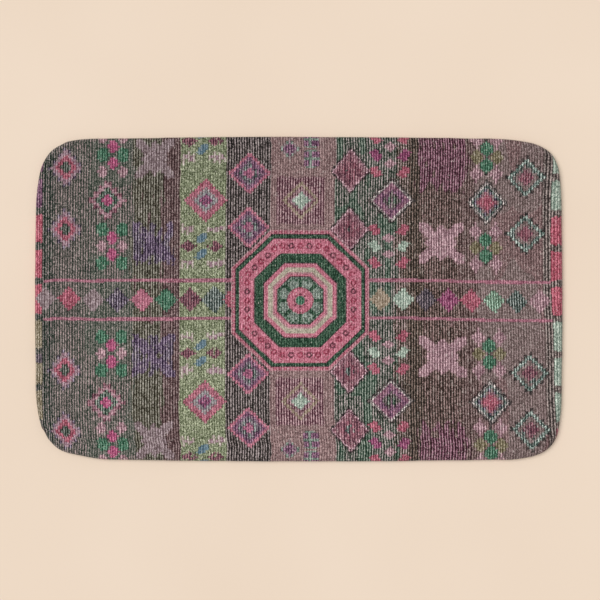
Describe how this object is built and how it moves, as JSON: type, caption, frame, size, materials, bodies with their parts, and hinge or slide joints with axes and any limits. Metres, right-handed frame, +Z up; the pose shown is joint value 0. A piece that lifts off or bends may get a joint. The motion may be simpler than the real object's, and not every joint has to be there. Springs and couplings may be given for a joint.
{
  "type": "bath mat",
  "caption": "Rectangular foam bath mat with rounded corners, a soft rolled edge, a printed plush face and a non-slip dotted underside.",
  "frame": {"origin": "centre of the mat's footprint, on the plane that its grip dots stand on", "axes": "+X along the mat's length, +Y across its width towards the side without the closing seam, +Z up through the printed face"},
  "size_m": [0.864, 0.533, 0.013],
  "materials": {
    "plush_face": "matte",
    "foam": "matte",
    "backing": "matte",
    "grip_dot": "satin",
    "thread": "matte",
    "label_tape": "satin"
  },
  "bodies": {
    "root": {"top_cover": "plush_face", "foam_core": "foam", "backing_cloth": "backing", "grip_dots": "grip_dot", "perimeter_stitching": "thread", "closing_stitching": "thread", "care_label": "label_tape"}
  },
  "joints": []
}
